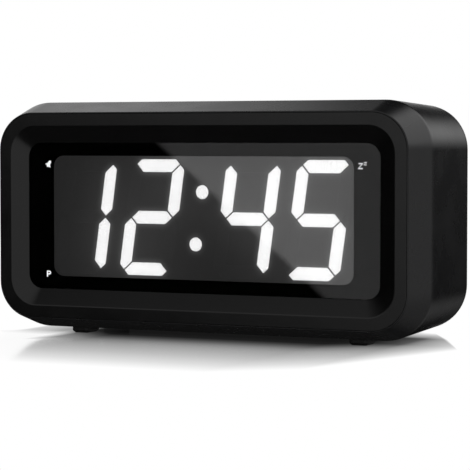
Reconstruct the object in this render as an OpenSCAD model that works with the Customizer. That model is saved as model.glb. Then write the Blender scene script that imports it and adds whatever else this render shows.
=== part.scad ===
// Bedside alarm clock with a large segment display.
// A tapered cabinet sleeve is clamped between a front bezel and a rear cover by four long screws.
// The display stack hangs on the bezel; the keys, the buzzer and the battery bay are on the cover.
// Local frame of every module: x to the clock's right as its reader sees it, y from the front
// plane towards the back, z up from the middle of the cabinet.

/* [Cabinet] */
// Width over the ridge, the widest line of the cabinet
case_w = 150; // [135:1:170]
// Height over the ridge
case_h = 74; // [67:1:86]
// Depth from the front plane to the back
case_d = 48; // [43:1:60]
// Depth at which the front chamfer meets the straight walls
ridge_y = 11.7; // [9:0.1:16]
// How far the front chamfer steps in all round
chamfer = 3.5; // [2.5:0.1:4.5]
// How far the walls draw in from the ridge to the back
rear_taper = 1.3; // [0.6:0.1:1.8]
// Corner radius at the ridge
ridge_r = 15.6; // [13:0.1:18]
// Wall thickness of the cabinet
wall = 2; // [1.6:0.1:2.4]

/* [Front bezel] */
// Width of the flat ring round the window
ring_w = 4.4; // [4.2:0.1:5.5]
// Flat edge of the cabinet that shows beside the ring
edge_land = 0.4; // [0.3:0.05:0.6]
// Seam between the bezel and the cabinet
seam = 0.15; // [0.1:0.05:0.25]
// Width of the slope between the ring and the lens
bevel_w = 5.4; // [4.8:0.1:6]
// Depth of that slope
bevel_d = 2.2; // [1.6:0.1:2.8]
// Corner radius of the slope at the ring
bevel_r = 8.8; // [7:0.1:10]
// Corner radius of the slope at the lens
opening_r = 4.7; // [3:0.1:6]
// Thickness of the lip that holds the lens
lip = 0.2; // [0.1:0.05:0.6]
// Depth of the bezel moulding
bezel_d = 5; // [4.6:0.1:6]

/* [Display] */
// Thickness of the tinted lens
lens_t = 0.8; // [0.5:0.1:1]
// How far the lens reaches behind the lip
lens_lap = 1.8; // [1.2:0.1:2]
// Thickness of the printed border film
mask_t = 0.1; // [0.05:0.05:0.2]
// Thickness of the grey filter
filter_t = 0.15; // [0.1:0.05:0.4]
// Width of the black border left and right of the window
border_x = 8.95; // [7:0.05:9]
// Width of the black border above and below the window
border_z = 4.15; // [3:0.05:4.15]
// Corner radius of the window
window_r = 3.6; // [2:0.1:5]
// Depth of the segment reflector
reflector_t = 5.8; // [4.8:0.1:7]
// Depth of the light blocks in the reflector
block_t = 1.2; // [0.8:0.1:2]

/* [Digits] */
// Room over and under the digits in the window
digit_margin = 1; // [0.6:0.1:4]
// Stroke of a segment
stroke = 4.1; // [3.2:0.1:4.6]
// Gap between neighbouring segments
segment_gap = 0.45; // [0.3:0.05:0.8]
// Size of the cut corners of a digit
digit_cut = 3.4; // [2.4:0.1:4]
// Lean of the digits in degrees
slant = 8; // [0:1:9]
// Room between the two digits of a pair
digit_gap = 5.35; // [4.6:0.05:6.5]
// Room left and right of the digits in the window
digit_edge = 2.3; // [1.6:0.1:5]
// Room for the colon between the pairs
colon_room = 14.6; // [13:0.1:18]
// Height of the colon dots over and under the middle
colon_z = 8.25; // [6:0.05:10]
// Radius of a colon dot
colon_r = 2.2; // [1.6:0.1:2.6]

/* [Battery bay] */
// Diameter of a cell
cell_d = 14.2; // [13.5:0.1:14.5]
// Length of a cell without its nub
cell_l = 49.2; // [47:0.1:50]
// Room for a spring or a contact at each end of a cell
end_room = 3.1; // [2.6:0.1:3.3]
// Thickness of the bay's walls
bay_wall = 1.5; // [1.2:0.1:1.8]
// Thickness of the battery door
door_t = 2; // [1.6:0.1:2.2]
// Running gap round the door
door_gap = 0.3; // [0.2:0.05:0.5]
// Radius of a contact spring at its foot
spring_r = 4; // [3:0.1:4.6]
// Radius of a spring's wire
spring_wire = 0.35; // [0.25:0.05:0.45]

/* [Rear cover and controls] */
// Thickness of the rear wall
cover_t = 2.4; // [2.2:0.1:3]
// Rounding of the rear edge
rear_round = 1.6; // [0.8:0.1:2]
// Depth of the sunk panel round the controls
panel_sink = 0.8; // [0.4:0.1:1]
// Radius of a case screw's post
post_r = 2.6; // [2.4:0.1:2.8]
// Width of a push button
button_w = 9; // [7:0.1:10]
// Height of a push button
button_h = 5.4; // [4.6:0.1:6]
// Travel of a push button
button_travel = 0.5; // [0.3:0.05:0.6]
// Distance between neighbouring push buttons
button_pitch = 15; // [13.6:0.1:15.4]
// Travel of a slide switch
switch_travel = 4; // [3:0.1:4.4]
// Gap round every control in its opening
control_gap = 0.25; // [0.15:0.05:0.35]
// Radius of the buzzer
buzzer_r = 10; // [8:0.1:10.5]

/* [Snooze bar] */
// Length of the bar
snooze_w = 62; // [50:1:80]
// Depth of the bar from front to back
snooze_d = 13; // [11:0.5:14]
// How far the bar stands over the cabinet
snooze_rise = 0.8; // [0.6:0.1:1]
// Travel of the bar
snooze_travel = 0.6; // [0.4:0.05:0.6]

/* [Feet] */
// Height of the cabinet's ridge over the table
foot_h = 2.1; // [1.6:0.1:4]
// Width of a foot
foot_w = 6.6; // [5:0.1:9]
// Depth of a foot
foot_d = 8; // [6:0.1:9]
// Distance of the feet's middle from the sides
foot_side = 25.4; // [21:0.1:30]
// Depth at which the front feet start
foot_y = 14; // [13:0.1:16]

/* [Hidden] */
$fn = 64;

eps = 0.01;             // overshoot of a cut past a face
flat_gap = 0.1;         // gap round a piece that drops into a pocket
side_inset = [1, -1];   // the two sides of everything that is mirrored

// --- cabinet outline ---------------------------------------------------------------------
// Inset of the outer wall from the ridge outline at depth y; negative is inwards.
function inset(y) = y < ridge_y
    ? -chamfer * (1 - y / ridge_y)
    : -rear_taper * (y - ridge_y) / (case_d - ridge_y);
cover_y = case_d - cover_t;                 // inner face of the rear wall
seat_o = chamfer + edge_land;               // inset of the cabinet's front opening
flange_t = 1.5;                             // bezel seat inside the cabinet
flange_w = 1.8;
bezel_o = seat_o + seam;
ring_inner_w = case_w - 2 * (chamfer + ring_w);
ring_inner_h = case_h - 2 * (chamfer + ring_w);
opening_w = ring_inner_w - 2 * bevel_w;
opening_h = ring_inner_h - 2 * bevel_w;

// --- display stack -----------------------------------------------------------------------
lens_w = opening_w + 2 * lens_lap;
lens_h = opening_h + 2 * lens_lap;
lens_r = opening_r + lens_lap;
lens_y = bevel_d + lip;
mask_y = lens_y + lens_t;
filter_y = mask_y + mask_t;
reflector_y = filter_y + filter_t;
board_y = reflector_y + reflector_t;        // front face of the display board
board_t = 1.6;
window_w = opening_w - 2 * border_x;
window_h = opening_h - 2 * border_z;
reflector_w = window_w + 6;
reflector_h = window_h + 4;
lens_wall = 1.5;                            // moulded fence round the lens
skirt = 2;                                  // outer wall of the bezel
ring_t = 2;                                 // thickness of the bezel behind its ring
fence_w = lens_w + 2 * flat_gap;
fence_h = lens_h + 2 * flat_gap;
board_boss_r = 1.7;
board_boss_x = 0.3 * case_w;
board_boss_z = fence_h / 2 + lens_wall + board_boss_r;
board_w = lens_w - 1;
board_h = 2 * board_boss_z + 3;
digit_h = window_h - 2 * digit_margin;
digit_w = (window_w - 2 * digit_edge - 2 * digit_gap - colon_room) / 4;
inner_digit_x = (colon_room + digit_w) / 2;
outer_digit_x = inner_digit_x + digit_w + digit_gap;
digit_x = [-outer_digit_x, -inner_digit_x, inner_digit_x, outer_digit_x];
// Segments in the order a b c d e f g, for the time 12:45.
LIT = [[0, 1, 1, 0, 0, 0, 0], [1, 1, 0, 1, 1, 0, 1], [0, 1, 1, 0, 0, 1, 1], [1, 0, 1, 1, 0, 1, 1]];

// --- rear cover --------------------------------------------------------------------------
post_x = case_w / 2 - 8;
post_z = 15;
post_y = board_y + board_t + 0.2;           // where the cover's posts meet the bezel's
screw_r = 1;
screw_bridge = 6;                           // moulding under the head of a case screw
case_screw_l = 11;
case_head_r = 1.9;
board_screw_r = 0.7;
board_screw_l = 5;
board_head_r = 1.6;
nub_r = 2.65;
nub_l = 1.3;
plate_t = 0.4;
row_room = 0.45;                            // spare height of a row of cells
cell_room = cell_l + nub_l + end_room + 2 * plate_t;
divider = 1.5;
fence_d = 3;                                // locating fence on the cover's inner face
fence_t = 1.4;
fence_o = wall + flat_gap + fence_t - inset(cover_y);
bay_w = 2 * cell_room + divider;
bay_h = 2 * (cell_d + row_room);
bay_z0 = fence_o - case_h / 2 + 0.3 + bay_wall;    // floor of the bay
door_seat = 0.15;                           // play between the door and its ledge
bay_y1 = case_d - door_t - door_seat;       // the ledge that the door closes on
bay_y0 = bay_y1 - 0.2 - cell_d - 0.4;       // front wall of the bay
cell_y = bay_y1 - 0.2 - cell_d / 2;
door_lap = 1.2;                             // how far the door rests on the bay's walls
door_w = bay_w + 2 * door_lap;
door_h = bay_h + 2 * door_lap;
door_z0 = bay_z0 - door_lap;
pivot_y = case_d - door_t / 2;              // the door turns about this line
pivot_z = door_z0 + door_t / 2;
tab_x = 35;
tab_w = 8;
tab_t = 1;
tab_y = cover_y - 0.3 - tab_t;
tab_drop = 1.3;                             // reach of the tabs under the door's edge
latch_w = 12;
latch_t = 0.9;
latch_l = 3.4;

// --- snooze bar --------------------------------------------------------------------------
plunger_r = 1.7;                            // rods and switches under the keys too
plunger_l = 1.2;
tact_w = 6;
tact_h = 3.5;
snooze_lap = 1.2;
snooze_y = cover_y - fence_d - 0.4 - snooze_lap - snooze_d / 2;
snooze_surface = case_h / 2 + inset(snooze_y);
snooze_top = snooze_surface + snooze_rise;
snooze_roof = case_h / 2 + inset(cover_y) - wall;   // lowest point of the roof's inner face
snooze_flange_t = 1.2;
snooze_flange_z = snooze_roof - 0.2 - snooze_flange_t;
snooze_tact_z = snooze_flange_z - plunger_l;
snooze_board_z = snooze_tact_z - tact_h - board_t;
snooze_boss_x = snooze_w / 2 + 5;
snooze_boss_r = 2;

// --- controls ----------------------------------------------------------------------------
panel_y = case_d - panel_sink;
panel_w = 66;
panel_h = 23.4;
panel_x = 22.5;
panel_z = snooze_flange_z - snooze_travel - 0.3 - panel_h / 2;
key_z = panel_z + 5.5;
slide_z = panel_z - 6;
key_x = [for (i = [0:3]) panel_x + (1.5 - i) * button_pitch];
slide_x = [panel_x + button_pitch, panel_x - button_pitch];
flange_gap = 0.3;                           // play behind a control's flange
cap_flange_t = 1;
cap_flange_lap = 0.9;
cap_back_y = cover_y - flange_gap - cap_flange_t;
tact_y = cap_back_y - plunger_l;            // rear face of the switch bodies
key_board_y = tact_y - tact_h - board_t;
slide_w = 9;
slide_h = 4;
slide_knob_w = 3;
slide_knob_h = 2.6;
key_boss_x = [panel_x - panel_w / 2 + 2.6, panel_x + panel_w / 2 - 2.6];
key_boss_z = [panel_z - panel_h / 2 + 2.6, panel_z + 1];
buzzer_x = -38;
buzzer_z = panel_z;
buzzer_t = 4;
cup_wall = 1.2;

// --- feet --------------------------------------------------------------------------------
foot_seat = 0.6;
foot_x = case_w / 2 - foot_side;
foot_back = 5;                              // rear feet to the back of the clock
foot_rear_y = case_d - foot_back - foot_d;

// ===== shared shapes =====================================================================
// Puts the local frame onto the table, with the origin under the middle of the clock.
module place() {
    translate([0, -case_d / 2, foot_h + case_h / 2])
        children();
}

// Rounded rectangle with true arcs.
module rounded(w, h, r) {
    square([w - 2 * r, h], center = true);
    square([w, h - 2 * r], center = true);
    for (sx = side_inset, sy = side_inset)
        translate([sx * (w / 2 - r), sy * (h / 2 - r)])
            circle(r);
}

// Stands a flat outline up, so that it runs from depth y0 to y1.
module upright(y0, y1) {
    translate([0, y1, 0])
        rotate([90, 0, 0])
            linear_extrude(y1 - y0)
                children();
}

// Plate with rounded corners between two depths, centred on x and z.
module plate(w, h, r, y0, y1, x = 0, z = 0) {
    translate([x, 0, z])
        upright(y0, y1)
            rounded(w, h, r);
}

// Bore or rod along the depth.
module rod(r, y0, y1, x = 0, z = 0) {
    translate([x, y1, z])
        rotate([90, 0, 0])
            cylinder(r = r, h = y1 - y0);
}

// Block given by its middle in x and z and by its two depths.
module block(w, h, y0, y1, x = 0, z = 0) {
    translate([x - w / 2, y0, z - h / 2])
        cube([w, y1 - y0, h]);
}

// Carries a profile round the ridge outline. The profile's x is the offset outwards from that
// outline and its y is the depth: four straight runs and four turned corners.
module around() {
    rotate([-90, 0, 0])
        for (k = [0:3]) {
            run = (k % 2 == 0 ? case_h : case_w) - 2 * ridge_r;
            reach = (k % 2 == 0 ? case_w : case_h) / 2;
            rotate([0, 0, 90 * k]) {
                translate([reach, run / 2, 0])
                    rotate([90, 0, 0])
                        linear_extrude(run)
                            children();
                translate([reach - ridge_r, run / 2, 0])
                    rotate_extrude(angle = 90)
                        translate([ridge_r, 0])
                            children();
            }
        }
}

// ===== cabinet ===========================================================================
module cabinet_shell() {
    around()
        polygon([
            [-chamfer, 0],
            [0, ridge_y],
            [inset(cover_y), cover_y],
            [inset(cover_y) - wall, cover_y],
            [-wall, ridge_y],
            [-seat_o, bezel_d + flange_t],
            [-seat_o - flange_w, bezel_d + flange_t],
            [-seat_o - flange_w, bezel_d],
            [-seat_o, bezel_d],
            [-seat_o, 0]
        ]);
}

// Pocket in the underside that a foot is glued into.
module foot_pocket(x, y) {
    translate([x, y + foot_d / 2, -case_h])
        linear_extrude(case_h / 2 + foot_top(y))
            rounded(foot_w + 2 * flat_gap, foot_d + 2 * flat_gap, 1.2);
}

// Height of a foot's glued face over the lowest line of the cabinet.
function foot_top(y) = foot_seat - inset(y + foot_d / 2);

module snooze_posts() {
    for (s = side_inset)
        translate([s * snooze_boss_x, snooze_y, snooze_board_z + board_t])
            difference() {
                cylinder(r = snooze_boss_r, h = snooze_roof + 1.2 - snooze_board_z - board_t);
                translate([0, 0, -eps])
                    cylinder(r = 0.8, h = 5);
            }
}

module cabinet() {
    color("#1b1b1c")
        place() {
            difference() {
                cabinet_shell();
                // opening of the snooze bar
                translate([0, snooze_y, 0])
                    linear_extrude(case_h)
                        rounded(snooze_w + 2 * control_gap, snooze_d + 2 * control_gap, 3);
                for (s = side_inset, y = [foot_y, foot_rear_y])
                    foot_pocket(s * foot_x, y);
            }
            snooze_posts();
        }
}

// ===== front bezel =======================================================================
module bevel_cut() {
    hull() {
        plate(ring_inner_w, ring_inner_h, bevel_r, -eps, 0);
        plate(opening_w, opening_h, opening_r, bevel_d, bevel_d + eps);
    }
}

module bezel_bosses() {
    for (sx = side_inset, sz = side_inset) {
        rod(board_boss_r, ring_t - 0.2, board_y, sx * board_boss_x, sz * board_boss_z);
        rod(post_r - 0.5, ring_t - 0.2, post_y, sx * post_x, sz * post_z);
    }
}

module front_bezel() {
    bezel_w = case_w - 2 * bezel_o;
    bezel_h = case_h - 2 * bezel_o;
    bezel_r = ridge_r - bezel_o;
    color("#202021")
        place()
            difference() {
                union() {
                    difference() {
                        plate(bezel_w, bezel_h, bezel_r, 0, bezel_d);
                        plate(bezel_w - 2 * skirt, bezel_h - 2 * skirt, bezel_r - skirt, ring_t, bezel_d + eps);
                    }
                    plate(fence_w + 2 * lens_wall, fence_h + 2 * lens_wall, lens_r + lens_wall, ring_t - 0.2, bezel_d);
                    bezel_bosses();
                }
                bevel_cut();
                plate(opening_w, opening_h, opening_r, bevel_d - eps, lens_y + eps);
                plate(fence_w, fence_h, lens_r + flat_gap, lens_y, bezel_d + eps);
                for (sx = side_inset, sz = side_inset) {
                    rod(0.75, bezel_d, board_y + eps, sx * board_boss_x, sz * board_boss_z);
                    rod(screw_r - 0.15, bezel_d, post_y + eps, sx * post_x, sz * post_z);
                }
            }
}

// ===== display ===========================================================================
module display_lens() {
    color("#0a0a0b", 0.6)
        place()
            plate(lens_w, lens_h, lens_r, lens_y, mask_y);
}

module border_mask() {
    color("#050505")
        place()
            difference() {
                plate(lens_w, lens_h, lens_r, mask_y, filter_y);
                plate(window_w, window_h, window_r, mask_y - eps, filter_y + eps);
            }
}

module display_filter() {
    color("#2a2a2a")
        place()
            plate(reflector_w, reflector_h, window_r, filter_y, reflector_y);
}

// Outline of one segment, upright and centred on its digit. trim draws every edge in.
// 0 is the top bar, 1 the upper right bar, 2 the middle bar; the others are mirrored from these.
module segment(kind, trim) {
    w = digit_w / 2 - trim;
    h = digit_h / 2 - trim;
    t = stroke - 2 * trim;
    q = (segment_gap / 2 + trim) / sqrt(2);     // half gap along a cut corner
    e = (segment_gap / 2 + trim) * sqrt(2);     // half gap along a bar's edge
    c = digit_cut;
    if (kind == 0)
        polygon([[t - w + e, h - t], [w - t - e, h - t], [w - c / 2 - q, h - c / 2 + q],
            [w - c, h], [c - w, h], [c / 2 - w + q, h - c / 2 + q]]);
    if (kind == 1)
        polygon([[w, h - c], [w - c / 2 + q, h - c / 2 - q], [w - t, h - t - e],
            [w - t, t / 2 + e], [w - t / 2, e], [w, t / 2 + e]]);
    if (kind == 2)
        polygon([[t / 2 - w + e, 0], [t - w + e, t / 2], [w - t - e, t / 2],
            [w - t / 2 - e, 0], [w - t - e, -t / 2], [t - w + e, -t / 2]]);
}

// Segments a to g as [kind, mirrored in x, mirrored in z].
SEGMENTS = [[0, 0, 0], [1, 0, 0], [1, 0, 1], [0, 0, 1], [1, 1, 1], [1, 1, 0], [2, 0, 0]];

module digit_segment(i, trim) {
    s = SEGMENTS[i];
    mirror([s[1], 0, 0])
        mirror([0, s[2], 0])
            segment(s[0], trim);
}

// Shears what stands upright by the lean of the digits.
module leaning() {
    multmatrix([[1, tan(slant), 0, 0], [0, 1, 0, 0], [0, 0, 1, 0]])
        children();
}

module segment_blocks(lit, trim, y0, y1) {
    for (d = [0:3], i = [0:6])
        if (lit == 2 || LIT[d][i] == lit)
            upright(y0, y1)
                translate([digit_x[d], 0])
                    leaning()
                        digit_segment(i, trim);
}

module colon_blocks(trim, y0, y1) {
    for (s = side_inset)
        rod(colon_r - trim, y0, y1, s * colon_z * tan(slant), s * colon_z);
}

module segment_reflector() {
    color("#8a8a88")
        place()
            difference() {
                plate(reflector_w, reflector_h, window_r, reflector_y, board_y);
                segment_blocks(2, 0, reflector_y - eps, board_y + eps);
                colon_blocks(0, reflector_y - eps, board_y + eps);
            }
}

module lit_segments() {
    color("#ffffff")
        place() {
            segment_blocks(1, 0.05, reflector_y, reflector_y + block_t);
            colon_blocks(0.05, reflector_y, reflector_y + block_t);
        }
}

module unlit_segments() {
    color("#6f6f6d")
        place()
            segment_blocks(0, 0.05, reflector_y, reflector_y + block_t);
}

// Middle of each segment on its digit, for the chips behind them.
function chip_at(i) = let (x = digit_w / 2 - stroke / 2, z = digit_h / 2 - stroke / 2)
    [[0, z], [x, z / 2], [x, -z / 2], [0, -z], [-x, -z / 2], [-x, z / 2], [0, 0]][i];

module led_chips() {
    chip_t = 0.8;
    chip_w = 2.8;
    chip_h = 2.6;
    color("#e8e0b0")
        place() {
            for (d = [0:3], i = [0:6]) {
                p = chip_at(i);
                block(chip_w, chip_h, board_y - chip_t, board_y, digit_x[d] + p[0] + p[1] * tan(slant), p[1]);
            }
            for (s = side_inset)
                block(chip_w, chip_h, board_y - chip_t, board_y, s * colon_z * tan(slant), s * colon_z);
        }
}

module display_board() {
    color("#1f5a34")
        place()
            difference() {
                plate(board_w, board_h, 2, board_y, board_y + board_t);
                for (sx = side_inset, sz = side_inset)
                    rod(1.1, board_y - eps, board_y + board_t + eps, sx * board_boss_x, sz * board_boss_z);
            }
}

// ===== electronics on the display board ==================================================
chip_y = board_y + board_t;
controller_w = 14;
controller_h = 9;

module controller_chip() {
    leg_w = 0.5;
    leg_pitch = 1.27;
    legs = 10;
    color("#141414")
        place() {
            difference() {
                block(controller_w, controller_h, chip_y + 0.1, chip_y + 2.1);
                rod(0.6, chip_y + 1.8, chip_y + 2.2, controller_w / 2 - 1.6, controller_h / 2 - 1.6);
            }
            for (s = side_inset, i = [0:legs - 1])
                block(leg_w, 1.6, chip_y, chip_y + 0.6, (i - (legs - 1) / 2) * leg_pitch, s * (controller_h / 2 + 0.7));
        }
}

module quartz_crystal() {
    color("#c8c8cc")
        place()
            translate([-controller_w / 2 - 6, chip_y + 1.1, 4])
                rotate([180, 0, 0])
                    union() {
                        cylinder(r = 1, h = 6);
                        cylinder(r = 1.1, h = 0.6);
                    }
}

capacitor_r = 3;
capacitor_at = [[26, -9], [34, -9], [30, 8]];

capacitor_l = 7;
capacitor_neck = 1.5;   // distance of the crimped neck from the board

module capacitors() {
    crimp = capacitor_r / 12;
    color("#20262e")
        place()
            for (p = capacitor_at)
                difference() {
                    rod(capacitor_r, chip_y, chip_y + capacitor_l, p[0], p[1]);
                    difference() {
                        rod(capacitor_r + 1, chip_y + capacitor_neck - crimp, chip_y + capacitor_neck + crimp, p[0], p[1]);
                        rod(capacitor_r - crimp, chip_y, chip_y + capacitor_l, p[0], p[1]);
                    }
                }
}

// Flat cable from the key board down to the display board: two straight ends and two half loops.
cable_t = 0.9;
cable_w = 12;
cable_x = panel_x - 15;
cable_y0 = chip_y + 0.1;
cable_y1 = key_board_y - 0.1;
cable_z = panel_z - panel_h / 2 + 4;
cable_bend = 3;

module ribbon_cable() {
    span = cable_y1 - cable_y0;
    color("#8f9296")
        place()
            translate([cable_x - cable_w / 2, 0, cable_z])
                rotate([90, 0, 90])
                    linear_extrude(cable_w)
                        union() {
                            translate([cable_y0, 0])
                                square([span / 2 - cable_bend, cable_t]);
                            translate([cable_y0 + span / 2 - cable_bend, cable_bend + cable_t])
                                quarter_strip(270);
                            translate([cable_y0 + span / 2, cable_bend + cable_t])
                                square([cable_t, 0.8]);
                            translate([cable_y0 + span / 2 + cable_bend + cable_t, cable_bend + cable_t + 0.8])
                                quarter_strip(90);
                            translate([cable_y0 + span / 2 + cable_bend + cable_t, 2 * cable_bend + cable_t + 0.8])
                                square([span / 2 - cable_bend - cable_t, cable_t]);
                        }
}

// Quarter of a flat ring that starts at angle a.
module quarter_strip(a) {
    r = cable_bend + cable_t;
    intersection() {
        difference() {
            circle(r);
            circle(cable_bend);
        }
        rotate(a)
            square([r, r]);
    }
}

// ===== rear cover ========================================================================
// Rounded edge of the cover: a quarter arc between its side and its back.
function edge_arc(n) = [for (i = [0:n]) let (a = 90 * i / n)
    [inset(case_d) - rear_round + rear_round * cos(a), case_d - rear_round + rear_round * sin(a)]];

module cover_rim() {
    rim_in = 5;
    around()
        polygon(concat([[inset(cover_y), cover_y]], edge_arc(8), [[-rim_in - wall, case_d], [-rim_in - wall, cover_y]]));
}

// Fence on the inner face that locates the cover in the cabinet.
module cover_fence() {
    o = inset(cover_y) - wall - flat_gap;
    around()
        polygon([[o - 0.15, cover_y - fence_d], [o, cover_y + eps], [o - fence_t, cover_y + eps],
            [o - fence_t, cover_y - fence_d]]);
}

module cover_plate() {
    plate(case_w - 8, case_h - 8, ridge_r - 4, cover_y, case_d);
}

module cover_posts() {
    for (sx = side_inset, sz = side_inset)
        rod(post_r, post_y, cover_y + eps, sx * post_x, sz * post_z);
}

// Walls of the battery bay, open to the back.
module bay_walls() {
    difference() {
        block(bay_w + 2 * bay_wall, bay_h + 2 * bay_wall, bay_y0 - bay_wall, bay_y1,
            0, bay_z0 + bay_h / 2);
        for (s = side_inset)
            block(cell_room, bay_h, bay_y0, bay_y1 + eps,
                s * (divider + cell_room) / 2, bay_z0 + bay_h / 2);
        // room over the divider for the latch
        block(latch_w + 2, 4, bay_y1 - latch_l - 1, bay_y1 + eps, 0, bay_z0 + bay_h - 2);
        // notches that the door's tabs turn in
        for (s = side_inset)
            block(tab_w + 2 * door_gap, 4 + bay_wall, bay_y1 - 3.5, bay_y1 + eps, s * tab_x, bay_z0 - bay_wall / 2 - eps);
    }
}

module cover_openings() {
    // door
    block(door_w + 2 * door_gap, door_h + 2 * door_gap, bay_y1, case_d + eps, 0, door_z0 + door_h / 2);
    block(bay_w - 2 * eps, bay_h, cover_y - eps, bay_y1 + eps, 0, bay_z0 + bay_h / 2);
    for (s = side_inset)
        block(tab_w + 2 * door_gap, 2 * bay_wall, cover_y - eps, bay_y1 + eps, s * tab_x, bay_z0);
    for (s = side_inset)
        block(tab_w + 2 * door_gap, 2 * fence_t, cover_y - fence_d - eps, cover_y, s * tab_x,
            fence_o - fence_t / 2 - case_h / 2);
    // thumb scoop at the door's latch
    translate([0, case_d + 3, door_z0 + door_h])
        rotate([0, 90, 0])
            cylinder(r = 4.4, h = latch_w + 2, center = true);
    // sunk panel
    plate(panel_w, panel_h, 3, panel_y, case_d + eps, panel_x, panel_z);
    for (x = key_x)
        plate(button_w + 2 * control_gap, button_h + 2 * control_gap, button_h / 2 - 0.1 + control_gap,
            cover_y - eps, panel_y + eps, x, key_z);
    for (x = slide_x)
        block(slide_knob_w + switch_travel + 2 * control_gap, slide_knob_h + 2 * control_gap,
            cover_y - eps, panel_y + eps, x, slide_z);
    // long screw wells
    for (sx = side_inset, sz = side_inset) {
        rod(1.2, post_y - eps, case_d, sx * post_x, sz * post_z);
        rod(2.1, post_y + screw_bridge, case_d + eps, sx * post_x, sz * post_z);
    }
    grille();
}

// Sound slots: parallel bars cut to a circle over the buzzer.
module grille() {
    slot = 1.2;
    pitch = 3;
    reach = buzzer_r - 2;
    for (i = [-2:2]) {
        half = sqrt(reach * reach - pitch * pitch * i * i);
        plate(2 * half, slot, slot / 2 - 0.05, cover_y - eps, case_d + eps, buzzer_x, buzzer_z + i * pitch);
    }
}

module buzzer_cup() {
    difference() {
        rod(buzzer_r + flat_gap + cup_wall, cover_y - buzzer_t - 0.6, cover_y + eps, buzzer_x, buzzer_z);
        rod(buzzer_r + flat_gap, cover_y - buzzer_t - 1, cover_y + 1, buzzer_x, buzzer_z);
    }
}

module key_bosses() {
    for (x = key_boss_x, z = key_boss_z)
        difference() {
            rod(2, key_board_y + board_t, cover_y + eps, x, z);
            rod(0.8, key_board_y + board_t - eps, key_board_y + board_t + 5, x, z);
        }
}

module rear_cover() {
    color("#1b1b1c")
        place() {
            difference() {
                union() {
                    cover_rim();
                    cover_plate();
                    cover_fence();
                    cover_posts();
                }
                cover_openings();
            }
            bay_walls();
            buzzer_cup();
            key_bosses();
        }
}

// ===== battery door ======================================================================
// The lower edge is round about the line that the door turns on, so it rolls in its recess.
module door_leaf() {
    translate([-door_w / 2, 0, 0])
        rotate([90, 0, 90])
            linear_extrude(door_w)
                union() {
                    translate([case_d - door_t, pivot_z])
                        square([door_t, door_h - door_t / 2]);
                    translate([pivot_y, pivot_z])
                        circle(door_t / 2);
                }
}

module door_tab(x) {
    drop = door_z0 - tab_drop;
    translate([x - tab_w / 2, tab_y, drop])
        cube([tab_w, tab_t, bay_z0 + 1.8 - drop]);
    translate([x - tab_w / 2, tab_y, bay_z0 + 0.2])
        cube([tab_w, case_d - door_t - tab_y + eps, 1.6]);
}

module door_latch() {
    top = bay_z0 + bay_h - 0.5;
    translate([-latch_w / 2, case_d - door_t - latch_l, top - latch_t])
        cube([latch_w, latch_l + eps, latch_t]);
    translate([0, case_d - door_t - latch_l + 0.8, top - 0.15])
        rotate([0, 90, 0])
            cylinder(r = 0.35, h = latch_w, center = true);
}

module battery_door() {
    ribs = 5;
    rib_pitch = 1.6;
    color("#1d1d1e")
        place()
            difference() {
                union() {
                    door_leaf();
                    for (s = side_inset)
                        door_tab(s * tab_x);
                    door_latch();
                }
                // grip lines under the latch
                for (i = [0:ribs - 1])
                    block(latch_w + 4, 0.7, case_d - 0.4, case_d + eps, 0, door_z0 + door_h - 6 - i * rib_pitch);
            }
}

// ===== cells and contacts ================================================================
// Row 0 is the lower one; the cells of the two rows point opposite ways.
function cell_z(row) = bay_z0 + (row + 0.5) * (cell_d + row_room);
function outward(row) = row == 0 ? 1 : -1;
function room_x(side) = side * (divider + cell_room) / 2;

module cell(side, row) {
    dir = -side * outward(row);                 // the way the nub points
    x = room_x(side) + dir * (cell_room / 2 - plate_t - nub_l - cell_l);
    color("#2f3136")
        place()
            translate([x, cell_y, cell_z(row)])
                rotate([0, 90 * dir, 0])
                    union() {
                        cylinder(r = cell_d / 2 - 0.15, h = cell_l);
                        translate([0, 0, 0.5])
                            cylinder(r = cell_d / 2, h = cell_l - 1);
                        cylinder(r = nub_r, h = cell_l + nub_l);
                    }
}

module battery_cell_1() { cell(-1, 0); }
module battery_cell_2() { cell(1, 0); }
module battery_cell_3() { cell(-1, 1); }
module battery_cell_4() { cell(1, 1); }

module contact_plates() {
    color("#c9cbcf")
        place()
            for (side = side_inset, row = [0, 1], end = side_inset)
                translate([room_x(side) + end * (cell_room / 2 - plate_t / 2), 0, 0])
                    difference() {
                        block(plate_t, 9.6, bay_y0, cell_y + 5, 0, cell_z(row));
                        block(1, 1.2, bay_y0 - 1, bay_y0 + 1.5, 0, cell_z(row));
                    }
}

// Conical spring: a wire swept along a helix that narrows towards the cell.
module spring(height) {
    turns = 3;
    steps = 12;
    sides = 6;
    n = turns * steps;
    tip_r = 2.4;
    ring = [for (i = [0:n]) let (a = 360 * i / steps, r = spring_r + (tip_r - spring_r) * i / n,
            z = spring_wire + (height - 2 * spring_wire) * i / n)
        for (k = [0:sides - 1]) let (b = 360 * k / sides)
            [(r + spring_wire * cos(b)) * cos(a), (r + spring_wire * cos(b)) * sin(a), z + spring_wire * sin(b)]];
    side_faces = [for (i = [0:n - 1], k = [0:sides - 1]) let (m = (k + 1) % sides)
        each [[i * sides + k, i * sides + m, (i + 1) * sides + m],
            [i * sides + k, (i + 1) * sides + m, (i + 1) * sides + k]]];
    caps = [[for (k = [0:sides - 1]) k], [for (k = [0:sides - 1]) n * sides + sides - 1 - k]];
    polyhedron(ring, concat([for (f = side_faces) [f[2], f[1], f[0]]], [for (c = caps) c]));
}

module contact_springs() {
    height = end_room;
    color("#d5d7da")
        place()
            for (side = side_inset, row = [0, 1]) {
                dir = -side * outward(row);
                translate([room_x(side) - dir * (cell_room / 2 - plate_t), cell_y, cell_z(row)])
                    rotate([0, 90 * dir, 0])
                        spring(height);
            }
}

lead_r = 0.7;
lead_x = bay_w / 2 - 12;

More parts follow.
